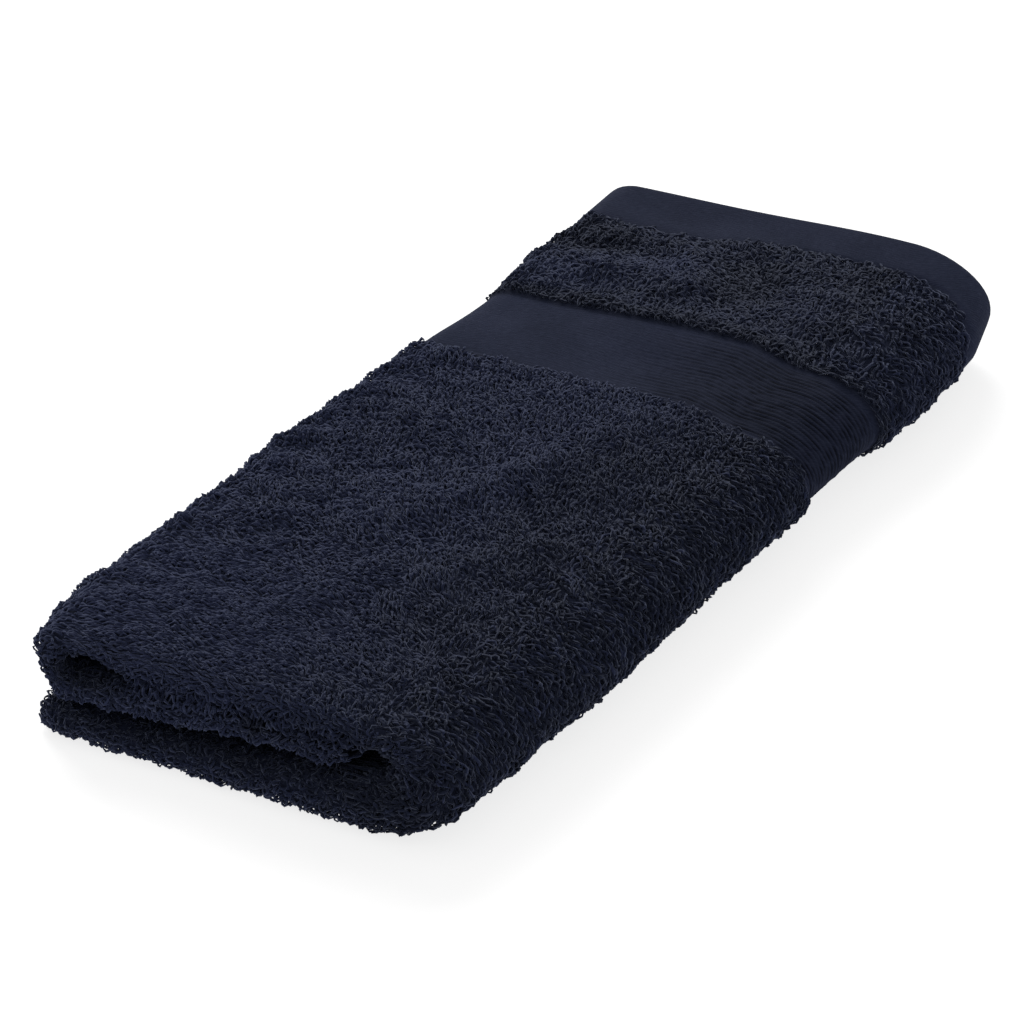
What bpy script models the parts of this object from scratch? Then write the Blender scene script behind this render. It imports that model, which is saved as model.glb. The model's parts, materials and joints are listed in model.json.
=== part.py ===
"""Guest towel of navy terry cloth, folded in half and then in thirds, lying flat.

The towel is one cloth. It is first doubled across its length, so the doubled cloth has its bend at
the near end and its hems at the far end. The doubled cloth then runs in a back-and-forth way: along
the floor to the right, up through the big outer fold, back to the left on top, down through the
inner fold and to the right again, in the middle, where it ends inside the outer fold.

X runs across the folded towel, with the outer fold at +X. Y runs along it, from the bend to the
hems. Z is up, and the origin is the bottom centre of the towel's box. Metres.
"""
from collections import namedtuple
from math import cos, exp, hypot, pi, sin

import bmesh
import bpy
import numpy as np

MM = 0.001

# The cloth. Its loops stand on both faces, and six layers press each other.
FOLDED_LENGTH = 250.5 * MM
LAYER = 3.4 * MM
LAYER_GAP = 0.6 * MM
DOUBLED = 2 * LAYER + LAYER_GAP

# Places across the width: where the panels end and where the folds begin to round
HALF_WIDTH = 53.8 * MM
OUTER_FOLD_REACH = 21.0 * MM
OUTER_FOLD_X = HALF_WIDTH - OUTER_FOLD_REACH
INNER_FOLD_REACH = 10.0 * MM
INNER_FOLD_X = INNER_FOLD_REACH - HALF_WIDTH
BOTTOM_SELVAGE_X = -46.8 * MM
MIDDLE_SELVAGE_X = 28.5 * MM

# How far each fold bulges out or draws in along the towel, as distances from the near edge
Bulge = namedtuple("Bulge", "y outer inner")
BULGES = [
    Bulge(0 * MM, 0.0 * MM, -5.8 * MM),
    Bulge(10 * MM, 0.8 * MM, -1.0 * MM),
    Bulge(24 * MM, 1.3 * MM, 1.6 * MM),
    Bulge(63 * MM, 2.3 * MM, 1.8 * MM),
    Bulge(105 * MM, 1.2 * MM, 1.6 * MM),
    Bulge(154 * MM, 0.9 * MM, 0.6 * MM),
    Bulge(187 * MM, 1.0 * MM, -0.4 * MM),
    Bulge(205 * MM, 2.2 * MM, 0.4 * MM),
    Bulge(232 * MM, 0.6 * MM, 1.4 * MM),
    Bulge(250 * MM, -4.8 * MM, 2.8 * MM),
]

# Zones along the length, measured back from the far edge: how deep the cloth's face lies under the
# tips of the pile, and how thick the layer is. A row on each side of a step sets its slope.
Zone = namedtuple("Zone", "back sunk thick")
ZONES = [
    Zone(0.0 * MM, 1.1 * MM, 1.8 * MM),
    Zone(1.2 * MM, 0.7 * MM, 2.6 * MM),
    Zone(13.9 * MM, 0.7 * MM, 2.6 * MM),
    Zone(15.1 * MM, 0.0 * MM, LAYER),
    Zone(62.4 * MM, 0.0 * MM, LAYER),
    Zone(63.6 * MM, 1.8 * MM, 1.4 * MM),
    Zone(94.9 * MM, 1.8 * MM, 1.4 * MM),
    Zone(96.1 * MM, 0.0 * MM, LAYER),
]
# Rows in the long pile, as distances from the near edge: closer together where the bend's bulge ends
LONG_PILE_ROWS = [y * MM for y in (13, 24, 36, 50, 67, 85, 103, 121, 138)]
BEND_STEPS = 8

# Heights of the panels' faces over the floor, in millimetres, at three places across the width. At
# the near end the big outer fold bunches up inside, and lifts what lies on the bottom panel.
Heights = namedtuple("Heights", "bottom_top middle_under middle_top top_under top_top")
HEIGHT_PLACES = (-45 * MM, -8 * MM, OUTER_FOLD_X)
BODY_HEIGHTS = [
    Heights(7.5, 8.1, 15.5, 16.1, 23.6),
    Heights(7.7, 8.3, 16.1, 16.8, 25.0),
    Heights(8.0, 8.8, 16.6, 17.6, 26.0),
]
NEAR_HEIGHTS = [
    Heights(7.6, 8.3, 14.8, 18.0, 24.2),
    Heights(9.6, 10.3, 17.4, 18.1, 25.2),
    Heights(12.6, 13.4, 19.2, 19.9, 26.2),
]
NEAR_REACH = 26 * MM
BUNCHED_FOLD = 6.5 * MM

# How far the bend sits back from the near edge, on its way through the panels and folds: 0 to 1 is
# the bottom panel, 1 to 2 the outer fold, 2 to 3 the top, 3 to 4 the inner fold, 4 to 5 the middle
Setback = namedtuple("Setback", "way back")
SETBACKS = [
    Setback(0.00, 1.8 * MM),
    Setback(0.08, -0.8 * MM),
    Setback(0.40, -0.2 * MM),
    Setback(1.00, -0.6 * MM),
    Setback(1.25, 0.0 * MM),
    Setback(1.60, 2.0 * MM),
    Setback(2.00, 2.2 * MM),
    Setback(2.50, 2.6 * MM),
    Setback(2.75, 4.2 * MM),
    Setback(2.95, 4.0 * MM),
    Setback(3.25, 1.8 * MM),
    Setback(4.00, 2.2 * MM),
    Setback(5.00, 2.6 * MM),
]
SETBACK_REACH = 45 * MM
END_SKEW = 0.045

# On the side of the outer fold the band's near edge is pulled towards the near end
BAND_PULL = 4.5 * MM
BAND_PULL_REACH = 12 * MM

# Soft waves of the top, strongest there and none at the floor
Wave = namedtuple("Wave", "height across along phase")
TOP_WAVES = [
    Wave(0.40 * MM, 95 * MM, 62 * MM, 0.6),
    Wave(0.30 * MM, 70 * MM, -46 * MM, 2.1),
    Wave(0.20 * MM, 240 * MM, 33 * MM, 4.0),
]
FULL_HEIGHT = 26 * MM

# Stations on the doubled cloth's way through the folds: part, and how far along it, 0 to 1
PART_STEPS = [("bottom", 6), ("outer fold", 12), ("top", 8), ("inner fold", 9), ("middle", 5)]
SELVAGE_ROUND = 1.2 * MM
SELVAGE_THINNING = 0.45

NAVY = (0.012, 0.016, 0.034, 1.0)


def clear_scene():
    for thing in list(bpy.data.objects):
        bpy.data.objects.remove(thing, do_unlink=True)


def blend(start, end, t):
    return start + (end - start) * t


def wave_at(x, y):
    return sum(w.height * sin(2 * pi * (x / w.across + y / w.along) + w.phase) for w in TOP_WAVES)


def fold_places(y):
    """Where the outer and the inner fold begin to round at a distance from the near edge."""
    rows = [bulge.y for bulge in BULGES]
    outer = float(np.interp(y, rows, [bulge.outer for bulge in BULGES]))
    inner = float(np.interp(y, rows, [bulge.inner for bulge in BULGES]))
    return OUTER_FOLD_X + outer, INNER_FOLD_X - inner


def heights(x, y):
    """Heights of the panels' faces at a place, in metres: a parabola through the three places' rows."""
    near = exp(-(y / NEAR_REACH) ** 2)
    rows = []
    for body_row, near_row in zip(BODY_HEIGHTS, NEAR_HEIGHTS):
        rows.append([blend(b, n, near) * MM for b, n in zip(body_row, near_row)])
    left, centre, right = HEIGHT_PLACES
    weights = (
        (x - centre) * (x - right) / ((left - centre) * (left - right)),
        (x - left) * (x - right) / ((centre - left) * (centre - right)),
        (x - left) * (x - centre) / ((right - left) * (right - centre)),
    )
    return Heights(*(sum(w * row[i] for w, row in zip(weights, rows)) for i in range(len(Heights._fields))))


def rounded(x, low, high, reach, angle):
    """A point on a fold that rounds from height low to height high and reaches out from x."""
    return x + reach * cos(angle), (low + high) / 2 + (high - low) / 2 * sin(angle)


def faces_at(part, t, y):
    """The outer and the inner face of the doubled cloth at a station, as (x, z) points."""
    outer_fold_x, inner_fold_x = fold_places(y)
    if part == "bottom":
        x = blend(BOTTOM_SELVAGE_X, outer_fold_x, t)
        return (x, 0.0), (x, heights(x, y).bottom_top)
    if part == "outer fold":
        h = heights(outer_fold_x, y)
        angle = pi * (t - 0.5)
        inner_reach = OUTER_FOLD_REACH - DOUBLED - BUNCHED_FOLD * exp(-(y / NEAR_REACH) ** 2)
        outer = rounded(outer_fold_x, 0.0, h.top_top, OUTER_FOLD_REACH, angle)
        return outer, rounded(outer_fold_x, h.bottom_top, h.top_under, inner_reach, angle)
    if part == "top":
        x = blend(outer_fold_x, inner_fold_x, t)
        h = heights(x, y)
        return (x, h.top_top), (x, h.top_under)
    if part == "inner fold":
        h = heights(inner_fold_x, y)
        angle = pi * (t + 0.5)
        outer = rounded(inner_fold_x, h.middle_under, h.top_top, INNER_FOLD_REACH, angle)
        return outer, rounded(inner_fold_x, h.middle_top, h.top_under, INNER_FOLD_REACH - DOUBLED, angle)
    x = blend(inner_fold_x, MIDDLE_SELVAGE_X, t)
    h = heights(x, y)
    return (x, h.middle_under), (x, h.middle_top)


def stations():
    """The stations of all parts in order: part, t, way, and how much of its thickness a layer keeps."""
    found = []
    for number, (part, steps) in enumerate(PART_STEPS):
        for step in range(steps):
            found.append((part, step / steps, number + step / steps, 1.0))
    last_part = PART_STEPS[-1][0]
    round_start = SELVAGE_ROUND / (OUTER_FOLD_X - BOTTOM_SELVAGE_X)
    round_end = SELVAGE_ROUND / (MIDDLE_SELVAGE_X - INNER_FOLD_X)
    found[0] = (PART_STEPS[0][0], 0.0, 0.0, SELVAGE_THINNING)
    found.insert(1, (PART_STEPS[0][0], round_start, round_start, 1.0))
    found.append((last_part, 1 - round_end, len(PART_STEPS) - round_end, 1.0))
    found.append((last_part, 1.0, float(len(PART_STEPS)), SELVAGE_THINNING))
    return found


def leg_rows():
    """Rows of the cloth from the far edge to the bend, as distances from the near edge."""
    steps = [FOLDED_LENGTH - zone.back for zone in ZONES]
    middle_of_far_pile = (steps[3] + steps[4]) / 2
    middle_of_band = (steps[5] + steps[6]) / 2
    return sorted(steps + [middle_of_far_pile, middle_of_band] + LONG_PILE_ROWS, reverse=True)


def zone_at(y):
    """How deep the cloth's face lies under the pile's tips, and how thick the layer is."""
    back = FOLDED_LENGTH - y
    backs = [zone.back for zone in ZONES]
    sunk = float(np.interp(back, backs, [zone.sunk for zone in ZONES]))
    thick = float(np.interp(back, backs, [zone.thick for zone in ZONES]))
    return sunk, thick


def faces_set_back(part, t, way, y):
    """The y of a row once the bend's setback has moved it, and the doubled cloth's two faces there."""
    setback = float(np.interp(way, [s.way for s in SETBACKS], [s.back for s in SETBACKS]))
    settle = max(0.0, 1 - y / SETBACK_REACH)
    band_edge_y = FOLDED_LENGTH - ZONES[-1].back
    pull = BAND_PULL * exp(-((y - band_edge_y) / BAND_PULL_REACH) ** 2)
    if part == "outer fold":
        y -= pull * sin(pi * t) ** 2
    y += setback * settle * settle * (3 - 2 * settle)
    return y, *faces_at(part, t, y)


def lay(y, outer, inner, share):
    """A point of the cloth: a share of the way between the two faces, then waved and skewed."""
    x = blend(outer[0], inner[0], share)
    z = blend(outer[1], inner[1], share)
    return x, y + END_SKEW * x, z + wave_at(x, y) * z / FULL_HEIGHT


def bend_points(part, t, way, keep):
    """The doubled cloth's bend at the near end: the layer's shown and hidden side, step by step."""
    outer, inner = faces_at(part, t, 0.0)
    span = hypot(inner[0] - outer[0], inner[1] - outer[1])
    layer = min(LAYER, (span - LAYER_GAP) / 2)
    shown = []
    hidden = []
    for step in range(BEND_STEPS + 1):
        angle = pi * (0.5 + step / BEND_STEPS)
        for points, depth in ((shown, layer * (1 - keep) / 2), (hidden, layer * (1 + keep) / 2)):
            radius = span / 2 - depth
            row = faces_set_back(part, t, way, span / 2 + radius * cos(angle))
            points.append(lay(*row, 0.5 - radius / span * sin(angle)))
    return shown, hidden


def leg_points(part, t, way, keep, rows, at_inner_face):
    """One leg of the doubled cloth, at its outer or its inner face: the layer's two sides, row by row."""
    shown = []
    hidden = []
    for y in rows:
        sunk, thick = zone_at(y)
        y, outer, inner = faces_set_back(part, t, way, y)
        span = hypot(inner[0] - outer[0], inner[1] - outer[1])
        squeeze = min(1.0, (span - LAYER_GAP) / (2 * LAYER))
        middle = sunk + thick / 2
        for points, depth in ((shown, middle - keep * thick / 2), (hidden, middle + keep * thick / 2)):
            share = depth * squeeze / span
            points.append(lay(y, outer, inner, 1 - share if at_inner_face else share))
    return shown, hidden


def ring_at(part, t, way, keep):
    """One station's two open rings, the cloth's shown and hidden side, from far edge to far edge."""
    rows = leg_rows()
    legs = [
        leg_points(part, t, way, keep, rows, False),
        bend_points(part, t, way, keep),
        leg_points(part, t, way, keep, rows[::-1], True),
    ]
    shown = [point for leg in legs for point in leg[0]]
    hidden = [point for leg in legs for point in leg[1]]
    return shown, hidden


def build_towel():
    rings = [ring_at(*station) for station in stations()]
    points = np.array([shown + hidden for shown, hidden in rings])
    low = points.reshape(-1, 3).min(axis=0)
    high = points.reshape(-1, 3).max(axis=0)
    points -= (*((low + high) / 2)[:2], low[2])
    count = len(rings[0][0])
    mesh = bmesh.new()
    verts = [[mesh.verts.new(point) for point in ring] for ring in points]
    for ring, following in zip(verts, verts[1:]):
        for i in range(count - 1):
            mesh.faces.new((ring[i], ring[i + 1], following[i + 1], following[i]))
            j = count + i
            mesh.faces.new((ring[j], following[j], following[j + 1], ring[j + 1]))
        for i in (0, count - 1):
            mesh.faces.new((ring[i], following[i], following[count + i], ring[count + i]))
    for ring in (verts[0], verts[-1]):
        for i in range(count - 1):
            mesh.faces.new((ring[i], ring[i + 1], ring[count + i + 1], ring[count + i]))
    bmesh.ops.recalc_face_normals(mesh, faces=mesh.faces)
    data = bpy.data.meshes.new("towel")
    mesh.to_mesh(data)
    mesh.free()
    data.shade_smooth()
    towel = bpy.data.objects.new("towel", data)
    bpy.context.scene.collection.objects.link(towel)
    return towel


def terry_material():
    material = bpy.data.materials.new("terry")
    material.use_nodes = True
    shader = material.node_tree.nodes["Principled BSDF"]
    shader.inputs["Base Color"].default_value = NAVY
    shader.inputs["Roughness"].default_value = 0.95
    shader.inputs["Metallic"].default_value = 0.0
    return material


def main():
    clear_scene()
    towel = build_towel()
    towel.data.materials.append(terry_material())


main()
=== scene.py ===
"""Looks of the folded guest towel: its ground cloth, the loops of its pile, light, floor and camera.

The ground is one thin sheet on the same folds as the CAD solid, whose faces are the tips of the pile.
A place in the cloth is given by its way through the folds (0 to 1 the bottom panel, 1 to 2 the outer
fold, 2 to 3 the top, 3 to 4 the inner fold, 4 to 5 the middle), by its run along the doubled cloth
(0 where the bend at the near end begins, more towards the hems), and by its depth under the tips.
"""
import json
from collections import namedtuple
from math import cos, pi, radians, sin

import bpy
import numpy as np
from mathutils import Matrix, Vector

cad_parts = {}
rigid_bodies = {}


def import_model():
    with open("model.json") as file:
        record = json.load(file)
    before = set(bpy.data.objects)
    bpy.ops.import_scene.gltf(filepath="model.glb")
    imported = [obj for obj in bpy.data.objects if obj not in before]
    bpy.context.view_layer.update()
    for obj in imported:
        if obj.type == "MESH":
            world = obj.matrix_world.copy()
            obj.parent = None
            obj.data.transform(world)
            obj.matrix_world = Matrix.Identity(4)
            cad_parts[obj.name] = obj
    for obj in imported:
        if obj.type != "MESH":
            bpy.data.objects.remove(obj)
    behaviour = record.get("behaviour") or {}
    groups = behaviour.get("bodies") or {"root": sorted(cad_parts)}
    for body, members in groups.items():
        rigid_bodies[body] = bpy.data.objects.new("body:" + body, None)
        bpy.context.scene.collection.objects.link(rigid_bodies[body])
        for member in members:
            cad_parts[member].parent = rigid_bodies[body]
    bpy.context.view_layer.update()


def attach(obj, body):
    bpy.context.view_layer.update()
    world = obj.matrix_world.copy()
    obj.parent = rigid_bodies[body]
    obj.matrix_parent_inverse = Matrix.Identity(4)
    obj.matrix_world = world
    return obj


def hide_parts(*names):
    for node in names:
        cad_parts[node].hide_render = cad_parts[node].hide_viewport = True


MM = 0.001

# The cloth and its folds, as in the CAD part. NEAR_HEIGHTS, BUNCHED_FOLD, the last setbacks and the
# band's pull differ from it a little, to follow the photograph more closely.
FOLDED_LENGTH = 250.5 * MM
LAYER = 3.4 * MM
LAYER_GAP = 0.6 * MM
DOUBLED = 2 * LAYER + LAYER_GAP
HALF_WIDTH = 53.8 * MM
OUTER_FOLD_REACH = 21.0 * MM
OUTER_FOLD_X = HALF_WIDTH - OUTER_FOLD_REACH
INNER_FOLD_REACH = 10.0 * MM
INNER_FOLD_X = INNER_FOLD_REACH - HALF_WIDTH
BOTTOM_SELVAGE_X = -46.8 * MM
MIDDLE_SELVAGE_X = 28.5 * MM

# Distance from the near edge, and how far the outer and the inner fold bulge there, in millimetres
BULGES = np.array([
    (0, 0.0, -5.8),
    (10, 0.8, -1.0),
    (24, 1.3, 1.6),
    (63, 2.3, 1.8),
    (105, 1.2, 1.6),
    (154, 0.9, 0.6),
    (187, 1.0, -0.4),
    (205, 2.2, 0.4),
    (232, 0.6, 1.4),
    (250, -4.8, 2.8),
]) * MM

# Heights of the panels' faces in millimetres, from the bottom panel's upper face to the top's, at
# three places across the width
HEIGHT_PLACES = (-45 * MM, -8 * MM, OUTER_FOLD_X)
BODY_HEIGHTS = np.array([
    (7.5, 8.1, 15.5, 16.1, 23.6),
    (7.7, 8.3, 16.1, 16.8, 25.0),
    (8.0, 8.8, 16.6, 17.6, 26.0),
]) * MM
NEAR_HEIGHTS = np.array([
    (7.7, 8.3, 14.6, 18.2, 24.2),
    (8.4, 11.6, 17.4, 18.1, 25.2),
    (13.3, 14.9, 19.6, 20.1, 26.2),
]) * MM
NEAR_REACH = 26 * MM
BUNCHED_FOLD = 10.3 * MM

# Way, and how far the bend sits back there, in millimetres
SETBACKS = np.array([
    (0.00, 1.8),
    (0.08, -0.8),
    (0.40, -0.2),
    (1.00, -0.6),
    (1.25, 0.0),
    (1.60, 2.0),
    (2.00, 2.2),
    (2.50, 2.6),
    (2.75, 4.2),
    (2.95, 4.0),
    (3.25, 1.4),
    (4.00, 0.9),
    (5.00, 1.2),
])
SETBACK_REACH = 45 * MM
END_SKEW = 0.045
# The band is pulled towards the near end where it turns down the outer fold
BAND_MIDDLE_Y = FOLDED_LENGTH - 79.4 * MM
BAND_PULL = 5.0 * MM
BAND_PULL_REACH = 27 * MM
FULL_HEIGHT = 26 * MM
# Centre of the CAD towel's box and its floor, in the coordinates of these formulas
CENTRE = np.array([0.00014511, 0.12525451, 0.0])

# Soft waves of the whole top: height, length across, length along, phase
TOP_WAVES = (
    (0.40 * MM, 95 * MM, 62 * MM, 0.6),
    (0.30 * MM, 70 * MM, -46 * MM, 2.1),
    (0.20 * MM, 240 * MM, 33 * MM, 4.0),
)

# Soft ridges and troughs of the top, in the towel's own frame, in millimetres
Ridge = namedtuple("Ridge", "x1 y1 x2 y2 height width")
RIDGES = (
    Ridge(17, 16, 6, -20, 1.9, 6.5),
    Ridge(6, -20, -12, -52, 1.8, 6.0),
    Ridge(27, -44, 14, -64, 1.5, 5.5),
    Ridge(1, -66, -4, -86, 1.2, 5.5),
    Ridge(-42, -104, 8, -103, 1.3, 6.5),
    Ridge(-38, -2, -20, -6, 1.2, 5.0),
    Ridge(-40, -42, -32, -57, 1.1, 5.0),
    Ridge(12, -70, 17, -92, 1.0, 5.0),
    Ridge(30, 24, 24, -8, 0.8, 5.5),
    Ridge(-24, -26, -34, -34, -1.0, 5.0),
    Ridge(-18, -88, -34, -84, -0.8, 5.0),
    Ridge(-44, 77, -8, 80, 2.3, 6.5),
    Ridge(-44, 92, -24, 93, -1.6, 5.0),
    Ridge(-12, 92, -8, 80, 0.9, 5.0),
    Ridge(2, 100, 6, 80, -0.9, 6.0),
    Ridge(22, 95, 27, 76, 0.9, 5.5),
    Ridge(-6, 107, 30, 103, 0.7, 6.5),
    Ridge(34, -20, 33, 60, -1.2, 9.0),
)

# Soft patches: place and radii in millimetres, how much. The nap's patches lie in the plan of the top and
# make the pile lighter or darker, partly as the nap of loops brushed one way or the other and partly as
# painted light and shade of the top's soft ridges and troughs. The gap patches paint shade into the near
# end's dark hollows, with heights for y.
Patch = namedtuple("Patch", "x y across along much")
HOLLOW_SHADE = (
    Patch(-37, 16.4, 8, 2.2, 1.0),
    Patch(7, 17.5, 3, 1.5, 1.0),
    Patch(-3, 9.5, 12, 2.0, 0.6),
)
NAP_AND_PAINTED_LIGHT = (
    Patch(-30, -92, 34, 30, 0.54),
    Patch(-32, 22, 20, 34, 0.14),
    Patch(-44, -40, 12, 60, 0.16),
    Patch(26, -70, 14, 60, -0.30),
    Patch(20, -12, 12, 34, -0.32),
    Patch(36, 24, 12, 36, -0.20),
    Patch(2, -2, 9, 24, 0.26),
    Patch(-14, -40, 12, 16, 0.24),
    Patch(20, -82, 9, 12, -0.20),
    Patch(-30, -12, 10, 16, -0.10),
    Patch(-40, 74, 12, 8, 0.50),
    Patch(-17, 86, 12, 8, 0.46),
    Patch(-40, 94, 13, 6, -0.48),
    Patch(1, 90, 9, 12, -0.48),
    Patch(24, 85, 10, 8, 0.26),
    Patch(20, 104, 12, 8, -0.18),
    Patch(55, -10, 8, 50, -0.12),
    Patch(38, 92, 15, 18, -0.22),
)

# Zones of the cloth, back from the far edge in millimetres: depth of its face, thickness
GROUND_ZONES = np.array([
    (0.0, 1.1, 1.8),
    (0.9, 0.75, 2.5),
    (2.2, 0.7, 2.6),
    (13.6, 0.7, 2.6),
    (15.1, 1.35, 0.9),
    (62.4, 1.35, 0.9),
    (63.6, 1.8, 1.2),
    (94.9, 1.8, 1.2),
    (96.1, 1.35, 0.9),
]) * MM
PILE_FROM_HEM = 14.6 * MM
BAND_FAR = 63.6 * MM
BAND_NEAR = 94.9 * MM
BAND_RIM = 1.5 * MM
RIB_PITCH = 1.45 * MM
RIB_HEIGHT = 0.15 * MM
RIB_COUNT = 41
RIB_STRENGTH = (0.12, 1.32)
RIB_SEED = 77
SELVAGE = 3.2 * MM
SELVAGE_SLOPE = 1.2 * MM
UV_PER_METRE = 10
# A place far from hem and band
PLAIN_PILE_Y = 30 * MM
# How far loops may hang over a selvage, as a share of a panel
OVERHANG = 0.015


def clear_scene_extras():
    for thing in list(bpy.data.objects):
        if thing.type in {"LIGHT", "CAMERA"}:
            bpy.data.objects.remove(thing, do_unlink=True)


def fade(value, start, stop):
    """0 at the start and before it, 1 at the stop and past it."""
    return np.clip((value - start) / (stop - start), 0, 1)


def wave_at(x, y):
    """Height of the top's waves and ridges at a place of the formulas' own coordinates."""
    total = 0.0
    for height, across, along, phase in TOP_WAVES:
        total = total + height * np.sin(2 * pi * (x / across + y / along) + phase)
    px = (x - CENTRE[0]) / MM
    py = (y - CENTRE[1]) / MM
    for ridge in RIDGES:
        dx = ridge.x2 - ridge.x1
        dy = ridge.y2 - ridge.y1
        t = np.clip(((px - ridge.x1) * dx + (py - ridge.y1) * dy) / (dx * dx + dy * dy), 0, 1)
        away = np.hypot(px - ridge.x1 - t * dx, py - ridge.y1 - t * dy)
        total = total + ridge.height * MM * np.exp(-((away / ridge.width) ** 2))
    return total


def patches_at(patches, x, y):
    """The sum of soft patches at places given in millimetres."""
    total = np.zeros(len(x))
    for patch in patches:
        dx = (x - patch.x) / patch.across
        dy = (y - patch.y) / patch.along
        total += patch.much * np.exp(-(dx * dx + dy * dy))
    return total


def fold_places(y):
    outer = np.interp(y, BULGES[:, 0], BULGES[:, 1])
    inner = np.interp(y, BULGES[:, 0], BULGES[:, 2])
    return OUTER_FOLD_X + outer, INNER_FOLD_X - inner


def heights(x, y):
    """Heights of the panels' five faces: a parabola through three places, uneven at the near end."""
    near = np.exp(-((y / NEAR_REACH) ** 2))
    left, centre, right = HEIGHT_PLACES
    weights = (
        (x - centre) * (x - right) / ((left - centre) * (left - right)),
        (x - left) * (x - right) / ((centre - left) * (centre - right)),
        (x - left) * (x - centre) / ((right - left) * (right - centre)),
    )
    found = []
    for i in range(5):
        rows = [body[i] + (close[i] - body[i]) * near for body, close in zip(BODY_HEIGHTS, NEAR_HEIGHTS)]
        found.append(sum(w * row for w, row in zip(weights, rows)))
    # Under the top panel the gap closes left of the middle and opens at the left corner
    closed = 1.3 * np.exp(-(((x / MM + 16) / 12) ** 2)) - 1.5 * np.exp(-(((x / MM + 37) / 7) ** 2))
    found[3] = found[3] - closed * near * MM
    uneven = 0.45 * np.sin(x / (5.1 * MM) + 1.0) + 0.35 * np.sin(x / (2.7 * MM) + 2.2)
    found[1] = found[1] + uneven * near * MM
    found[0] = found[0] + 0.4 * np.sin(x / (4.3 * MM) + 4.0) * near * near * MM
    return found


def rounded(x, low, high, reach, angle):
    return x + reach * np.cos(angle), (low + high) / 2 + (high - low) / 2 * np.sin(angle)


def faces_at(way, y):
    """The outer and the inner face of the doubled cloth, each as x and z."""
    part = np.clip(np.floor(way), 0, 4)
    t = way - part
    outer_x, inner_x = fold_places(y)
    spots = (
        BOTTOM_SELVAGE_X + (outer_x - BOTTOM_SELVAGE_X) * t,
        outer_x,
        outer_x + (inner_x - outer_x) * t,
        inner_x,
        inner_x + (MIDDLE_SELVAGE_X - inner_x) * t,
    )
    x = np.select([part == i for i in range(5)], spots)
    bottom_top, middle_under, middle_top, top_under, top_top = heights(x, y)
    outer_angle = pi * (t - 0.5)
    inner_angle = pi * (t + 0.5)
    outer_reach = OUTER_FOLD_REACH - DOUBLED - BUNCHED_FOLD * np.exp(-((y / NEAR_REACH) ** 2))
    bigger = rounded(x, 0.0, top_top, OUTER_FOLD_REACH, outer_angle)
    hollow = rounded(x, bottom_top, top_under, outer_reach, outer_angle)
    smaller = rounded(x, middle_under, top_top, INNER_FOLD_REACH, inner_angle)
    core = rounded(x, middle_top, top_under, INNER_FOLD_REACH - DOUBLED, inner_angle)
    zero = np.zeros_like(x)
    outer = [(x, zero), bigger, (x, top_top), smaller, (x, middle_under)]
    inner = [(x, bottom_top), hollow, (x, top_under), core, (x, middle_top)]
    picks = [part == i for i in range(5)]
    return [np.select(picks, [face[k] for face in faces]) for faces in (outer, inner) for k in (0, 1)]


def faces_set_back(way, y):
    setback = np.interp(way, SETBACKS[:, 0], SETBACKS[:, 1]) * MM
    settle = np.maximum(0.0, 1 - y / SETBACK_REACH)
    pull = BAND_PULL * np.exp(-(((y - BAND_MIDDLE_Y) / BAND_PULL_REACH) ** 4))
    y = y - pull * np.interp(way, (1.0, 1.3, 1.8, 2.02, 2.2), (0, 1, 1, 0.8, 0))
    y = y + setback * settle * settle * (3 - 2 * settle)
    return y, faces_at(way, y)


def half_at_bend(way):
    """Half the doubled cloth's thickness at the near end."""
    x1, z1, x2, z2 = faces_at(way, np.zeros_like(way))
    return np.hypot(x2 - x1, z2 - z1) / 2


def place(way, run, depth):
    """Points of the cloth in the towel's frame, from arrays of way, run and depth."""
    way = np.clip(way, -OVERHANG, 5 + OVERHANG)
    half = half_at_bend(way)
    arc = pi * half
    share_of_bend = np.clip(-run / arc, 0, 1)
    angle = pi * (0.5 + share_of_bend)
    on_back = run < -arc
    on_bend = (run < 0) & ~on_back
    y = np.where(on_bend, half + (half - depth) * np.cos(angle), half + run)
    y = np.where(on_back, half - run - arc, y)
    y, (x1, z1, x2, z2) = faces_set_back(way, y)
    span = np.hypot(x2 - x1, z2 - z1)
    squeeze = np.minimum(1.0, (span - LAYER_GAP) / (2 * LAYER))
    share = depth * squeeze / span
    share = np.where(on_back, 1 - share, share)
    share = np.where(on_bend, 0.5 - (half - depth) / (2 * half) * np.sin(angle), share)
    x = x1 + (x2 - x1) * share
    z = z1 + (z2 - z1) * share
    # At the near left corner the cloth draws in at middle height and reaches out on top
    at_corner = np.exp(-((y / (20 * MM)) ** 2)) * fade(x, -32 * MM, -46 * MM)
    x = x - at_corner * np.interp(z / MM, (7, 12, 17, 21, 25), (0, -3.2, -2.2, 0.0, 1.6)) * MM
    points = np.stack([x, y + END_SKEW * x, z + wave_at(x, y) * z / FULL_HEIGHT], axis=-1)
    return points - CENTRE


def hem_pull(way):
    """How much wider the hem shows down the side of the outer fold and at the left of the top."""
    at_side = 10.5 * np.sin(pi * fade(way, 1.0, 1.9)) ** 2
    at_left = np.interp(way, (2.1, 2.4, 2.56, 2.76, 3.0, 4.0), (0.0, 1.2, 3.6, 5.8, 5.0, 4.0))
    return (at_side + at_left) * MM


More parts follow.
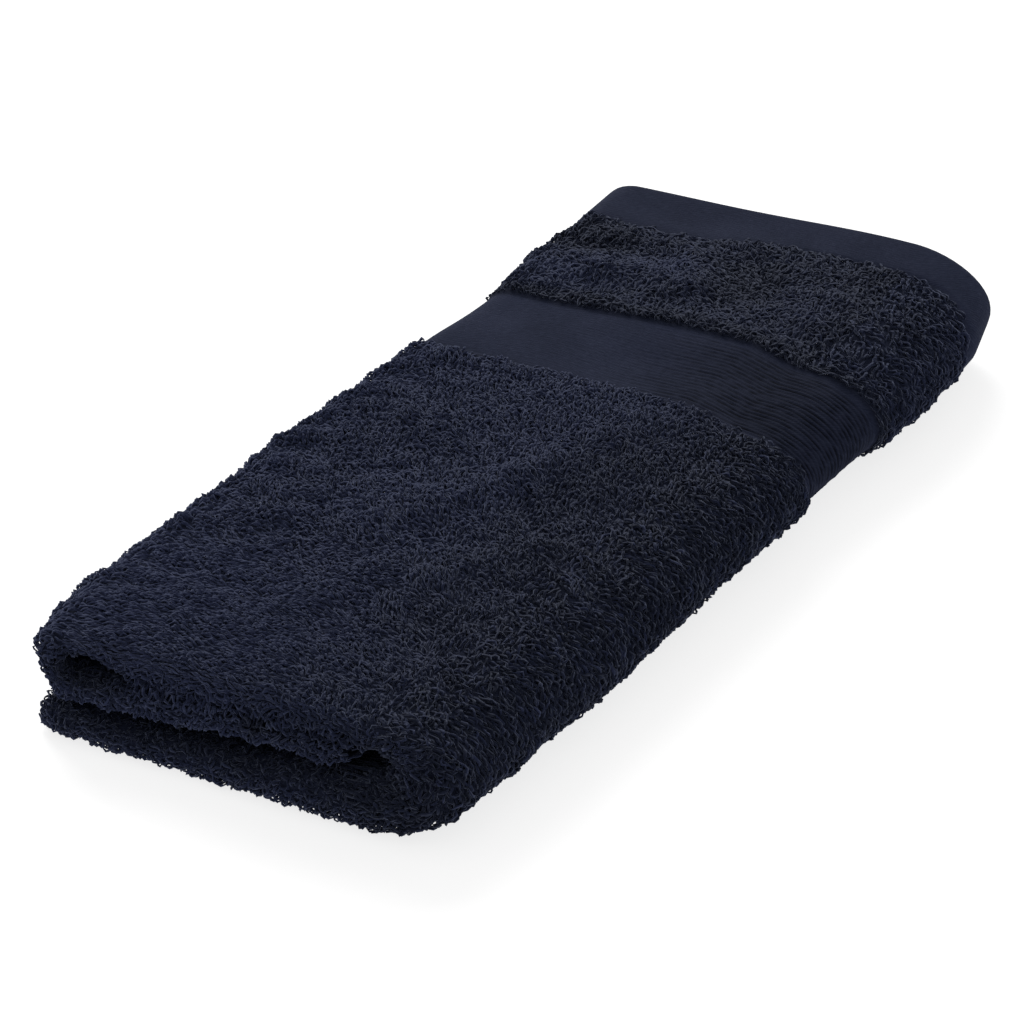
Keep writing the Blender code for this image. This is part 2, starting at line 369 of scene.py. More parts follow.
def ground_at(way, y):
    """Depth of the cloth's face under the tips and its thickness; the selvages lie higher and thicker."""
    back = FOLDED_LENGTH - y
    back = np.where(back < 30 * MM, np.maximum(back - hem_pull(way), np.minimum(back, 13 * MM)), back)
    depth = np.interp(back, GROUND_ZONES[:, 0], GROUND_ZONES[:, 1])
    thick = np.interp(back, GROUND_ZONES[:, 0], GROUND_ZONES[:, 2])
    bottom_length = OUTER_FOLD_X - BOTTOM_SELVAGE_X
    middle_length = MIDDLE_SELVAGE_X - INNER_FOLD_X
    edge = np.minimum(way * bottom_length, (5 - way) * middle_length)
    raised = fade(edge, SELVAGE, SELVAGE - SELVAGE_SLOPE)
    raised = raised * raised * (3 - 2 * raised) * fade(y, 12 * MM, 24 * MM)
    depth = depth + (0.7 * MM - depth) * raised
    thick = thick + (2.2 * MM - thick) * raised
    rounding = np.sqrt(np.clip(edge / (1.3 * MM), 0.05, 1))
    return depth + thick * (1 - rounding) / 2, thick * rounding


def new_mesh(name, points, quads, uvs, tone_and_painted_shade=None):
    """A smooth mesh object from arrays of points, quads and one UV pair per corner."""
    data = bpy.data.meshes.new(name)
    data.vertices.add(len(points))
    data.vertices.foreach_set("co", points.astype(np.float32).ravel())
    data.loops.add(quads.size)
    data.loops.foreach_set("vertex_index", quads.astype(np.int32).ravel())
    data.polygons.add(len(quads))
    data.polygons.foreach_set("loop_start", np.arange(0, quads.size, 4, dtype=np.int32))
    data.polygons.foreach_set("loop_total", np.full(len(quads), 4, dtype=np.int32))
    layer = data.uv_layers.new(name="UVMap")
    layer.data.foreach_set("uv", uvs.astype(np.float32).ravel())
    # The tone attribute holds random tone together with painted light and shade, which the materials turn
    # into colour
    if tone_and_painted_shade is not None:
        colours = data.color_attributes.new("tone_and_painted_shade", "FLOAT_COLOR", "POINT")
        rgba = np.repeat(tone_and_painted_shade[:, None], 4, axis=1).astype(np.float32)
        colours.data.foreach_set("color", rgba.ravel())
    data.update(calc_edges=True)
    data.validate()
    data.shade_smooth()
    thing = bpy.data.objects.new(name, data)
    bpy.context.scene.collection.objects.link(thing)
    return thing


def ground_rows():
    """Rows of the sheet from the far edge, round the bend and back: leg 0, bend 1 or back leg 2."""
    hem = np.array([0, 0.35, 0.9, 1.6, 2.6, 5, 8, 11, 13.2, 14.0, 14.6, 15.1]) * MM
    far_pile = np.arange(18, 62, 3.2) * MM
    band_edge = np.array([62.4, 62.9, 63.6]) * MM
    band = np.linspace(BAND_FAR, BAND_NEAR, 4 * round((BAND_NEAR - BAND_FAR) / RIB_PITCH) + 1)[1:]
    long_pile = np.concatenate([[95.5, 96.1], np.linspace(99, 244, 46)]) * MM
    back = np.concatenate([hem, far_pile, band_edge, band, long_pile])
    front_leg = [(0, FOLDED_LENGTH - b) for b in back]
    bend = [(1, s) for s in np.linspace(0, 1, 15)]
    coarse = np.concatenate([hem, far_pile[::2], band_edge, [BAND_FAR + 15 * MM, BAND_NEAR]])
    coarse = np.concatenate([coarse, np.array([95.5, 96.1]) * MM, np.linspace(102, 242, 22) * MM])
    back_leg = [(2, FOLDED_LENGTH - b) for b in coarse[::-1]]
    return front_leg + bend + back_leg


def ground_ways():
    """Stations of the sheet from selvage to selvage."""
    edge = np.array([0, 0.2, 0.5, 0.9, 1.4, 2.5, 4.2, 5.2, 6.2, 8.0]) * MM
    first = edge / (OUTER_FOLD_X - BOTTOM_SELVAGE_X)
    last = 5 - edge[::-1] / (MIDDLE_SELVAGE_X - INNER_FOLD_X)
    parts = [first]
    for start, stop, steps in ((0.14, 1, 11), (1, 2, 25), (2, 2.45, 23), (2.45, 3, 16), (3, 4, 17)):
        parts.append(np.linspace(start, stop, steps + 1)[:-1])
    return np.concatenate([*parts, np.linspace(4, 4.88, 10), last])


def ribs_at(way, back):
    """The band's ribs as a wave between -1 and 1, and how strongly each rib shows at each station."""
    number = np.clip(((back - BAND_FAR) / RIB_PITCH).astype(int), 0, RIB_COUNT - 1)
    strength = np.random.default_rng(RIB_SEED).uniform(*RIB_STRENGTH, (len(way), RIB_COUNT))
    wobble = 0.5 * np.sin(way * 11 + back * 520) + 0.3 * np.sin(way * 26 - back * 910)
    return np.cos(2 * pi * (back - BAND_FAR) / RIB_PITCH + wobble), strength[:, number]


def ground_painted_shade(way, y, lowest, groove_shade, in_band):
    """Painted shade under the pile, in the band's grooves, beside the far pile, down the turned band and in
    the near end's hollow; painted light on the band's left.
    """
    # Painted shade between the loops: the ground under the pile is darker than the flat weave
    flat_weave = np.interp(lowest, (2.3 * MM, 2.6 * MM), (0, 1))
    # Painted shade where the band turns down and under the outer fold, painted light on the band's left part
    # of the top
    turned = np.interp(way, (1.0, 1.9, 2.12, 2.5), (0.76, 0.76, 0.80, 1.12))
    # A painted shadow along the band's far edge, under the far pile
    from_pile = (FOLDED_LENGTH - y - 62.9 * MM) / (0.9 * MM)
    contact_shadow = 0.4 * np.exp(-(from_pile ** 2))
    tone_and_painted_shade = (0.75 + 0.25 * flat_weave) * (1 - 0.7 * groove_shade) * (1 + (turned - 1) * in_band) * (1 - contact_shadow)
    # Painted shade in the near end's hollow, over the right part of the middle panel
    return tone_and_painted_shade * (1 - 0.55 * fade(way, 4.5, 4.7) * fade(y, 50 * MM, 40 * MM))


def sheet_quads(rings, count):
    """Faces of a closed sheet: its shown side, its hidden side and its four edges."""
    top = np.arange(rings * count).reshape(rings, count)
    under = top + rings * count
    faces = [
        np.stack([top[:-1, :-1], top[:-1, 1:], top[1:, 1:], top[1:, :-1]], axis=-1).reshape(-1, 4),
        np.stack([under[:-1, :-1], under[1:, :-1], under[1:, 1:], under[:-1, 1:]], axis=-1).reshape(-1, 4),
        np.stack([top[:-1, 0], top[1:, 0], under[1:, 0], under[:-1, 0]], axis=-1),
        np.stack([top[:-1, -1], under[:-1, -1], under[1:, -1], top[1:, -1]], axis=-1),
        np.stack([top[0, :-1], under[0, :-1], under[0, 1:], top[0, 1:]], axis=-1),
        np.stack([top[-1, :-1], top[-1, 1:], under[-1, 1:], under[-1, :-1]], axis=-1),
    ]
    return np.concatenate(faces)


def make_ground():
    """The towel's ground as one closed thin sheet, with the band's ribs in its shown face."""
    kinds, values = np.array(ground_rows()).T
    way = np.repeat(ground_ways()[:, None], len(kinds), axis=1)
    half = half_at_bend(way)
    arc = pi * half
    run = np.where(kinds == 0, values - half, np.where(kinds == 1, -values * arc, half - values - arc))
    y = np.where(kinds == 1, 10 * MM, values)
    depth, thick = ground_at(way, y)
    back = FOLDED_LENGTH - y
    in_band = fade(back, BAND_FAR, BAND_FAR + BAND_RIM) * fade(back, BAND_NEAR, BAND_NEAR - BAND_RIM)
    ribs, strength = ribs_at(way, back)
    stretched = np.interp(way, (0, 1, 2.0, 2.25, 2.5, 3), (0.5, 0.9, 1.2, 0.8, 0.16, 0.06))
    raised = RIB_HEIGHT * strength * stretched * ribs * in_band * (kinds == 0)
    # How far each point lies in a rib's groove, for the painted shade in the grooves
    groove_shade = np.clip(0.3 - ribs, 0, 1) * in_band * np.clip(strength, 0, 1) * stretched
    shown = place(way, run, depth - raised)
    hidden = place(way, run, depth + thick)
    rings, count = way.shape
    points = np.concatenate([shown.reshape(-1, 3), hidden.reshape(-1, 3)])
    quads = sheet_quads(rings, count)
    lengths = np.linalg.norm(np.diff(shown[:, count // 3], axis=0), axis=1)
    across = np.concatenate([[0.0], np.cumsum(lengths)])
    u = np.repeat(across[:, None], count, axis=1).ravel()
    v = run.ravel() - arc.ravel()
    uv = np.tile(np.stack([u, v], axis=-1), (2, 1)) * UV_PER_METRE
    # The ground's tone is its painted light and shade
    tone_and_painted_shade = ground_painted_shade(way, y, depth + thick, groove_shade, in_band).ravel()
    return new_mesh("ground_cloth", points, quads, uv[quads.ravel()], np.tile(tone_and_painted_shade, 2))


# A stretch of pile: its range of way and of distance from the near edge, loops per square centimetre,
# the loops' length and yarn radius in millimetres, the lean's spread in degrees, how curly they are,
# how far they stand up as a share of the pile's depth, and their segments
Pile = namedtuple("Pile", "name way1 way2 y1 y2 density length yarn spread curl stand segments")
FAR_PILE = (FOLDED_LENGTH - 62.6 * MM, FOLDED_LENGTH - PILE_FROM_HEM)
LONG_PILE = (0.0, FOLDED_LENGTH - 95.6 * MM)
PILES = (
    Pile("pile_top", 2.0, 3.0, *LONG_PILE, 108, 3.1, 0.345, 20, 0.16, 1.0, 4),
    Pile("pile_side", 1.0, 2.0, *LONG_PILE, 69, 4.0, 0.37, 15, 0.18, 1.05, 4),
    Pile("pile_left", 3.0, 4.0, *LONG_PILE, 76, 2.8, 0.38, 22, 0.18, 1.1, 4),
    Pile("pile_under", 0.06, 1.0, *LONG_PILE, 16, 3.4, 0.44, 90, 0.30, 1.0, 3),
    Pile("pile_far_top", 2.0, 3.0, *FAR_PILE, 100, 3.9, 0.40, 34, 0.22, 1.06, 4),
    Pile("pile_far_side", 1.0, 2.0, *FAR_PILE, 62, 4.1, 0.37, 12, 0.20, 1.0, 4),
    Pile("pile_far_left", 3.0, 4.0, *FAR_PILE, 72, 2.8, 0.39, 24, 0.18, 1.1, 4),
    Pile("pile_far_under", 0.06, 1.0, *FAR_PILE, 16, 3.4, 0.44, 90, 0.30, 1.0, 3),
)
# At the near end y1 is how far the loops go on past the bend, into the gap behind it
BEND_PILES = (
    Pile("pile_bend_bottom", 0.0, 1.0, -26 * MM, 0.0, 76, 3.1, 0.33, 60, 0.30, 1.3, 4),
    Pile("pile_bend_side", 1.0, 2.0, -14 * MM, 0.0, 70, 3.4, 0.35, 40, 0.30, 1.35, 4),
    Pile("pile_bend_top", 2.0, 3.0, -5 * MM, 0.0, 92, 3.1, 0.32, 32, 0.26, 1.2, 4),
    Pile("pile_bend_left", 3.0, 4.0, -5 * MM, 0.0, 70, 3.1, 0.33, 46, 0.28, 1.3, 4),
    Pile("pile_bend_middle", 4.0, 5.0, -7 * MM, 6 * MM, 78, 3.1, 0.33, 60, 0.30, 1.35, 4),
)
# Stretches whose loops close the groove between the near end's two upper rolls
FILLING_PILES = ("pile_bend_top", "pile_bend_middle")
# Where the far pile's loops are kept low and given painted shade, next to the band
FRONT = 5 * MM
# The height to which loops are evened out where the pile is calm
EVEN_RISE = 0.8
TRIANGLES_A_PIECE = 180000
YARN_SIDES = 3
PILE_SEED = 1200


def metric(way, run):
    """Metres for one unit of way at the tips of the pile."""
    step = 0.004
    low = np.clip(way - step, 0.001, 4.999)
    high = np.clip(way + step, 0.001, 4.999)
    gap = np.linalg.norm(place(high, run, 0 * run) - place(low, run, 0 * run), axis=-1)
    return gap / (high - low)


def drift(points, shortest, longest, seed):
    """A smooth random value at each point, about -2 to 2, with waves of the given lengths."""
    count = 14
    rng = np.random.default_rng(seed)
    heading = rng.normal(size=(count, 3))
    heading /= np.linalg.norm(heading, axis=1, keepdims=True)
    wave = heading * 2 * pi / rng.uniform(shortest, longest, (count, 1))
    return np.sin(points @ wave.T + rng.uniform(0, 2 * pi, count)).sum(axis=1) / (count / 2) ** 0.5


def calm_at(way, points):
    """1 where the pile lies combed flat across the width, as at the near left of the top."""
    calm = fade(points[:, 1], -38 * MM, -78 * MM) * fade(points[:, 0], 30 * MM, 0)
    return np.where(way >= 2, calm, 0.3)


def lean_at(way, points):
    """The combing's direction in degrees: 0 leans towards the outer fold or down it, 90 to the near end."""
    x = points[:, 0] / MM
    along = points[:, 1] / MM
    on_top = np.interp(along, (-120, -90, -62, -32, 10, 30), (4, 7, 16, 32, 44, 50))
    on_top = np.minimum(on_top + np.interp(x, (-5, 35), (0, 40)), 62)
    return np.where(way >= 2, on_top, np.interp(way, (1.0, 1.5, 1.75, 2.0), (0, 8, 26, 58)))


def loop_roots(pile, rng, on_bend):
    """Way, y and run of each loop's root, on a staggered grid with some disorder."""
    spacing = 10 * MM / pile.density ** 0.5
    # The grid starts early enough for the longest way round the bend, and what is too much is dropped
    y1 = pile.y1 - 24 * MM if on_bend else pile.y1
    ways = np.linspace(pile.way1, pile.way2, 33)
    spots = (ways[:-1] + ways[1:]) / 2
    middle_run = -5 * MM if on_bend else (y1 + pile.y2) / 2
    sizes = metric(spots, np.full(len(spots), middle_run)) * np.diff(ways)
    total = np.concatenate([[0.0], np.cumsum(sizes)])
    columns = max(2, round(total[-1] / spacing))
    rows = max(2, round((pile.y2 - y1) / spacing))
    i, j = np.meshgrid(np.arange(columns), np.arange(rows), indexing="ij")
    offset = np.where(i % 2 == 0, 0.25, -0.25)
    across = (i + 0.5 + rng.uniform(-0.42, 0.42, i.shape)) / columns * total[-1]
    along = (j + 0.5 + offset + rng.uniform(-0.42, 0.42, i.shape)) / rows
    way = np.interp(across.ravel(), total, ways)
    y = (y1 + along * (pile.y2 - y1)).ravel()
    half = half_at_bend(way)
    run = y if on_bend else y - half
    keep = run > (-pi * half + pile.y1 if on_bend else 0.0)
    return way[keep], y[keep], run[keep]


Loops = namedtuple("Loops", "way y run roots round_bend calm on_side in_far_pile on_bend")


def loops_of(pile, rng, on_bend):
    """A stretch's loops: where each is rooted, and what its shape and tone depend on."""
    way, y, run = loop_roots(pile, rng, on_bend)
    if not on_bend:
        ragged = np.clip(drift(place(way, run, 0 * run), 4 * MM, 13 * MM, seed=8), 0, 2) * 1.5 * MM
        keep = (FOLDED_LENGTH - y >= PILE_FROM_HEM + hem_pull(way)) & (y <= pile.y2 - ragged)
        way, y, run = way[keep], y[keep], run[keep]
    roots = place(way, run, 0 * run)
    round_bend = -run / (pi * half_at_bend(way))
    calm = calm_at(way, roots)
    if on_bend:
        calm = calm * fade(round_bend, 0.6, 0.3) * fade(way, 3.3, 3.0)
    on_side = (way >= 1) & (way < 2)
    return Loops(way, y, run, roots, round_bend, calm, on_side, pile.y1 > LONG_PILE[1], on_bend)


def loop_headings(pile, rng, loops):
    """The direction in which each loop leans, in radians."""
    count = len(loops.way)
    wander = drift(loops.roots, 6 * MM, 17 * MM, seed=5) * (20 - 14 * loops.calm)
    wander = wander * np.where(loops.on_side, 0.8, 1.0)
    disorder = rng.normal(0, 1, count) * pile.spread * (1 - 0.6 * loops.calm)
    lean = lean_at(loops.way, loops.roots) + wander + disorder
    chance = np.where(loops.on_side, 0.1, np.where(loops.calm > 0.5, 0.35, 0.82))
    backwards = rng.random(count) < chance
    return np.radians(lean) + pi * backwards


def filling_at(pile, loops):
    """1 where loops close the groove between the near end's two upper rolls, right of its open part."""
    if pile.name not in FILLING_PILES:
        return np.zeros(len(loops.way))
    return fade(loops.round_bend, 0.55, 0.8) * fade(loops.roots[:, 0], -27 * MM, -21 * MM)


def loop_rises(pile, rng, loops, standing):
    """How far each loop stands up, as a share of the pile's depth."""
    calm = loops.calm
    count = len(calm)
    tuft = drift(loops.roots, 3.2 * MM, 6.5 * MM, seed=6)
    rise = rng.uniform(0.4, 1.05, count) + np.where(standing, 0.25, 0.0)
    rise = rise + (EVEN_RISE - rise) * 0.5 * calm + tuft * (0.13 if loops.in_far_pile else 0.19 - 0.11 * calm)
    rise = rise + (EVEN_RISE - rise) * 0.5 * fade(loops.way, 2.85, 3.05) * (not loops.on_bend)
    evened = np.interp(loops.roots[:, 1] / MM, (-60, 10, 60, 75), (0, 0.35, 0.35, 0.6))
    rise = rise + (EVEN_RISE - rise) * evened * ~loops.on_side
    rise = np.clip(rise, 0.25, 1.5) * pile.stand
    if pile.name == "pile_bend_bottom":
        in_groove = fade(loops.round_bend, 0.55, 0.8)
    elif pile.name == "pile_bend_middle":
        in_groove = fade(loops.round_bend, 0.25, 0.0)
    else:
        return rise
    tucked = rng.random(count) < 0.7
    return rise * (1 - 0.5 * in_groove * tucked)


def loop_tones_and_painted_shade(pile, rng, loops, filling):
    """Each loop's tone, 0 dark to 1 light: random from loop to loop, with the nap's patches and their painted
    light and shade, painted shade down the side, over the far pile and in the near end's grooves and hollows.
    """
    way, far = loops.way, loops.in_far_pile
    disorder = rng.normal(0, 1, len(way)) * np.where(loops.on_side & (not far), 0.26, 0.10)
    x, y, z = loops.roots.T / MM
    # The nap's patches: partly the nap's own lighter and darker patches, partly painted light and shade
    tone_and_painted_shade = disorder + 0.5 + patches_at(NAP_AND_PAINTED_LIGHT, x, y)
    # Painted shade down the side of the outer fold, which faces away from the light
    side_shade = np.interp(way, (1.0, 1.8, 2.13), (1, 1, 0)) * (way >= 1)
    if far:
        # Painted shade down the far pile's side and at its front next to the band; its top is darker as well
        tone_and_painted_shade = tone_and_painted_shade - 0.42 * (1 - loops.on_side) - 0.3 * side_shade - 0.8 * fade(loops.y - pile.y1, FRONT, 0)
    else:
        tone_and_painted_shade = tone_and_painted_shade - 0.58 * side_shade
    if loops.on_bend:
        # Painted shade deep in the bend's grooves, on the bottom roll and in the near end's hollows
        deep_shade = fade(loops.round_bend, 0.5, 0.8) * (1 - 0.9 * filling)
        tone_and_painted_shade = tone_and_painted_shade - 0.5 * deep_shade - 0.24 * (way < 1) - 0.7 * patches_at(HOLLOW_SHADE, x, z)
    return np.clip(tone_and_painted_shade, -0.25, 1.2)


def loop_paths(pile, rng, on_bend):
    """Centre lines of the loops as points, their yarn radius along them, and each loop's tone with its
    painted light and shade.
    """
    loops = loops_of(pile, rng, on_bend)
    way, y, run, roots, calm = loops.way, loops.y, loops.run, loops.roots, loops.calm
    count = len(way)
    at_front = loops.in_far_pile & (y - pile.y1 < FRONT) & ((way > 2.9) | (way < 1.3))
    filling = filling_at(pile, loops)

    lean = loop_headings(pile, rng, loops)
    length = pile.length * MM * rng.uniform(0.62, 1.25, count) * (1 + 0.2 * calm)
    standing = rng.random(count) < 0.16 * (1 - 0.9 * calm)
    length = length * np.where(standing, 0.55, 1.0) * np.where(at_front, 0.5, 1.0)
    bow = rng.normal(0, 1, count) * pile.curl * length * (1 - 0.7 * calm)
    curl = rng.normal(0, 1, count) * pile.curl * 0.4 * length * (1 - 0.7 * calm)
    rise = loop_rises(pile, rng, loops, standing) * (1 - 0.3 * at_front) * (1 + 0.85 * filling)
    yarn = pile.yarn * MM * rng.uniform(0.75, 1.15, count) * (1 - 0.22 * calm)

    # Heights along a loop: some are whole hoops, the others fingers whose tips bend down again
    s = np.linspace(0, 1, pile.segments + 1)[None, :]
    low_bend = on_bend * (way < 2.0)
    hoop = (rng.random(count) < 0.3 - 0.2 * calm - 0.22 * low_bend)[:, None]
    arch = np.sin(pi * s) ** 0.6
    finger = np.sin(pi / 2 * np.minimum(1, s * 1.35)) ** 0.8 - 0.35 * fade(s, 0.7, 1.0) ** 2
    profile = np.where(hoop, arch, finger)
    at_inner_fold = fade(np.abs(way - 3.15), 0.5, 0)
    lump = np.clip(drift(roots, 7 * MM, 16 * MM, seed=7), -2, 2) * (0.15 + 0.6 * at_inner_fold) * MM
    ground, _ = ground_at(way, np.full(count, PLAIN_PILE_Y) if on_bend else y)
    sunk = ground + 0.3 * MM
    tall = (sunk - yarn) * rise
    tall = np.maximum(tall + lump, 0.55 * tall)
    depth = sunk[:, None] - profile * tall[:, None]

    # Across and along the cloth, kept off the band
    forward = (s - 0.35 + 0.08 * np.sin(2 * pi * s)) * length[:, None]
    side = bow[:, None] * (np.sin(pi * s) - 0.5) + curl[:, None] * np.sin(2 * pi * s)
    across = forward * np.cos(lean)[:, None] - side * np.sin(lean)[:, None]
    near = forward * np.sin(lean)[:, None] + side * np.cos(lean)[:, None]
    sense = np.where((way >= 3) & (way < 4), 1.0, -1.0)
    path_way = way[:, None] + sense[:, None] * across / metric(way, run)[:, None]
    path_run = run[:, None] - near
    if not on_bend:
        root_y = (y - run)[:, None]
        over = np.maximum(0, root_y + path_run - LONG_PILE[1])
        short = np.maximum(0, FAR_PILE[0] - root_y - path_run)
        path_run = path_run + (0.92 * short if loops.in_far_pile else -0.35 * over)

    hoop_swell = 0.72 + 0.26 * np.sin(pi * s)
    finger_swell = np.interp(s, (0, 0.4, 0.8, 0.93, 1), (0.7, 1, 1.05, 0.9, 0.4))
    swell = np.where(hoop, hoop_swell, finger_swell)
    swell = swell * rng.uniform(0.82, 1.18, swell.shape)
    return place(path_way, path_run, depth), yarn[:, None] * swell, loop_tones_and_painted_shade(pile, rng, loops, filling)


def tubes(name, paths, yarn, tone_and_painted_shade):
    """One mesh of yarn tubes along the given centre lines."""
    tangent = np.gradient(paths, axis=1)
    tangent /= np.linalg.norm(tangent, axis=-1, keepdims=True) + 1e-12
    chord = paths[:, -1] - paths[:, 0]
    middle = paths[:, paths.shape[1] // 2] - (paths[:, 0] + paths[:, -1]) / 2
    side = np.cross(chord, middle)
    side /= np.linalg.norm(side, axis=-1, keepdims=True) + 1e-12
    first = side[:, None, :] - (side[:, None, :] * tangent).sum(-1, keepdims=True) * tangent
    first /= np.linalg.norm(first, axis=-1, keepdims=True) + 1e-12
    second = np.cross(tangent, first)
    count, steps = paths.shape[:2]
    sides = YARN_SIDES
    corners = []
    for k in range(sides):
        angle = 2 * pi * k / sides - pi / 2
        corners.append(paths + (first * cos(angle) + second * sin(angle)) * yarn[..., None])
    points = np.stack(corners, axis=2)
    points[..., 2] = np.maximum(points[..., 2], 0.02 * MM)
    index = np.arange(count * steps * sides).reshape(count, steps, sides)
    turned = np.roll(index, -1, axis=2)
    quads = np.stack([index[:, :-1], turned[:, :-1], turned[:, 1:], index[:, 1:]], axis=-1).reshape(-1, 4)
    s = np.linspace(0, 1, steps)
    u = np.arange(sides) / sides
    length = np.linalg.norm(np.diff(paths, axis=1), axis=-1).sum(axis=1)
    v = s[None, :] * length[:, None] / MM
    left = np.broadcast_to(u[None, None, :], (count, steps - 1, sides))
    right = left + 1 / sides
    low = np.broadcast_to(v[:, :-1, None], left.shape)
    high = np.broadcast_to(v[:, 1:, None], left.shape)
    corner_uv = np.stack([
        np.stack([left, low], -1),
        np.stack([right, low], -1),
        np.stack([right, high], -1),
        np.stack([left, high], -1),
    ], axis=3)
    # Each point carries its loop's tone with its painted light and shade
    tones_and_painted_shade = np.repeat(tone_and_painted_shade, steps * sides)
    return new_mesh(name, points.reshape(-1, 3), quads, corner_uv.reshape(-1, 2), tones_and_painted_shade)


def make_pile():
    """All loops, as joined pieces of no more than TRIANGLES_A_PIECE triangles each."""
    made = []
    stretches = [(pile, False) for pile in PILES] + [(pile, True) for pile in BEND_PILES]
    for number, (pile, on_bend) in enumerate(stretches):
        rng = np.random.default_rng(PILE_SEED + number)
        paths, yarn, tone_and_painted_shade = loop_paths(pile, rng, on_bend)
        each = pile.segments * YARN_SIDES * 2
        pieces = -(-len(paths) * each // TRIANGLES_A_PIECE)
        order = np.argsort(paths[:, 0, 1])
        for k, some in enumerate(np.array_split(order, pieces)):
            name = pile.name if pieces == 1 else f"{pile.name}_{k + 1}"
            made.append(tubes(name, paths[some], yarn[some], tone_and_painted_shade[some]))
    return made


class Nodes:
    """Short calls for building a material's node tree."""

    def __init__(self, name):
        self.material = bpy.data.materials.new(name)
        self.material.use_nodes = True
        self.tree = self.material.node_tree
        self.shader = self.tree.nodes["Principled BSDF"]

    def add(self, kind, inputs=(), **settings):
        node = self.tree.nodes.new(kind)
        for key, value in settings.items():
            setattr(node, key, value)
        for key, value in dict(inputs).items():
            if isinstance(value, bpy.types.NodeSocket):
                self.tree.links.new(value, node.inputs[key])
            else:
                node.inputs[key].default_value = value
        return node

    def link(self, output, key):
        self.tree.links.new(output, self.shader.inputs[key])

    def ramp(self, factor, *stops):
        node = self.add("ShaderNodeValToRGB", {"Fac": factor})
        elements = node.color_ramp.elements
        while len(elements) < len(stops):
            elements.new(0.5)
        for element, (position, colour) in zip(elements, stops):
            element.position = position
            element.color = (*colour, 1.0)
        return node.outputs["Color"]

    def noise(self, vector, scale, detail=3.0, roughness=0.55):
        node = self.add("ShaderNodeTexNoise", {
            "Vector": vector,
            "Scale": scale,
            "Detail": detail,
            "Roughness": roughness,
        })
        return node.outputs["Fac"]

    def math(self, operation, *values):
        return self.add("ShaderNodeMath", dict(enumerate(values)), operation=operation).outputs[0]

    def weighted(self, *terms):
        """The sum of outputs, each times its weight."""
        total = 0.0
        for output, weight in terms:
            total = self.math("MULTIPLY_ADD", output, weight, total)
        return total

    def bump(self, height, strength, distance):
        node = self.add("ShaderNodeBump", {"Height": height, "Strength": strength, "Distance": distance})
        self.link(node.outputs[0], "Normal")


# Dark, middle and light navy of the yarn and of the flat weave; the yarn's ramp between them is also driven
# by painted light and shade
PILE_COLOURS = ((0.0078, 0.0101, 0.0220), (0.0188, 0.0242, 0.0560), (0.0290, 0.0358, 0.0790))
WEAVE_COLOURS = ((0.0112, 0.0145, 0.0305), (0.0187, 0.0231, 0.0460), (0.0300, 0.0358, 0.0655))


def cotton_finish(nodes, specular, sheen):
    shader = nodes.shader
    shader.inputs["Roughness"].default_value = 0.95
    shader.inputs["Diffuse Roughness"].default_value = 1.0
    shader.inputs["Specular IOR Level"].default_value = specular
    shader.inputs["Sheen Weight"].default_value = sheen
    shader.inputs["Sheen Roughness"].default_value = 0.5
    shader.inputs["Sheen Tint"].default_value = (0.55, 0.62, 0.85, 1.0)


def pile_material():
    """Twisted cotton yarn: its colour varies from loop to loop and in soft patches, and the tone attribute
    brings painted light and shade into it.
    """
    nodes = Nodes("navy_pile")
    place_of = nodes.add("ShaderNodeTexCoord").outputs["Object"]
    uv = nodes.add("ShaderNodeUVMap", uv_map="UVMap").outputs["UV"]
    tone_and_painted_shade = nodes.add("ShaderNodeAttribute", attribute_name="tone_and_painted_shade").outputs["Fac"]
    patches = nodes.noise(place_of, 60.0, 2.0)
    fibres = nodes.noise(place_of, 2600.0, 3.0, 0.7)
    # Each loop's tone, with its painted light and shade, sets the colour along the ramp
    mix = nodes.weighted((tone_and_painted_shade, 0.55), (patches, 0.30), (fibres, 0.30))
    colour = nodes.ramp(mix, *zip((0.19, 0.55, 0.85), PILE_COLOURS))
    nodes.link(colour, "Base Color")
    twist = nodes.add("ShaderNodeTexWave", {
        "Vector": nodes.add("ShaderNodeMapping", {"Vector": uv, "Scale": (1.0, 0.55, 1.0)}).outputs[0],
        "Scale": 0.62,
        "Distortion": 1.2,
        "Detail": 1.0,
    }, wave_type="BANDS", bands_direction="DIAGONAL").outputs["Fac"]
    nodes.bump(nodes.weighted((twist, 0.6), (fibres, 0.5)), 0.5, 0.12 * MM)
    cotton_finish(nodes, specular=0.08, sheen=0.14)
    return nodes.material


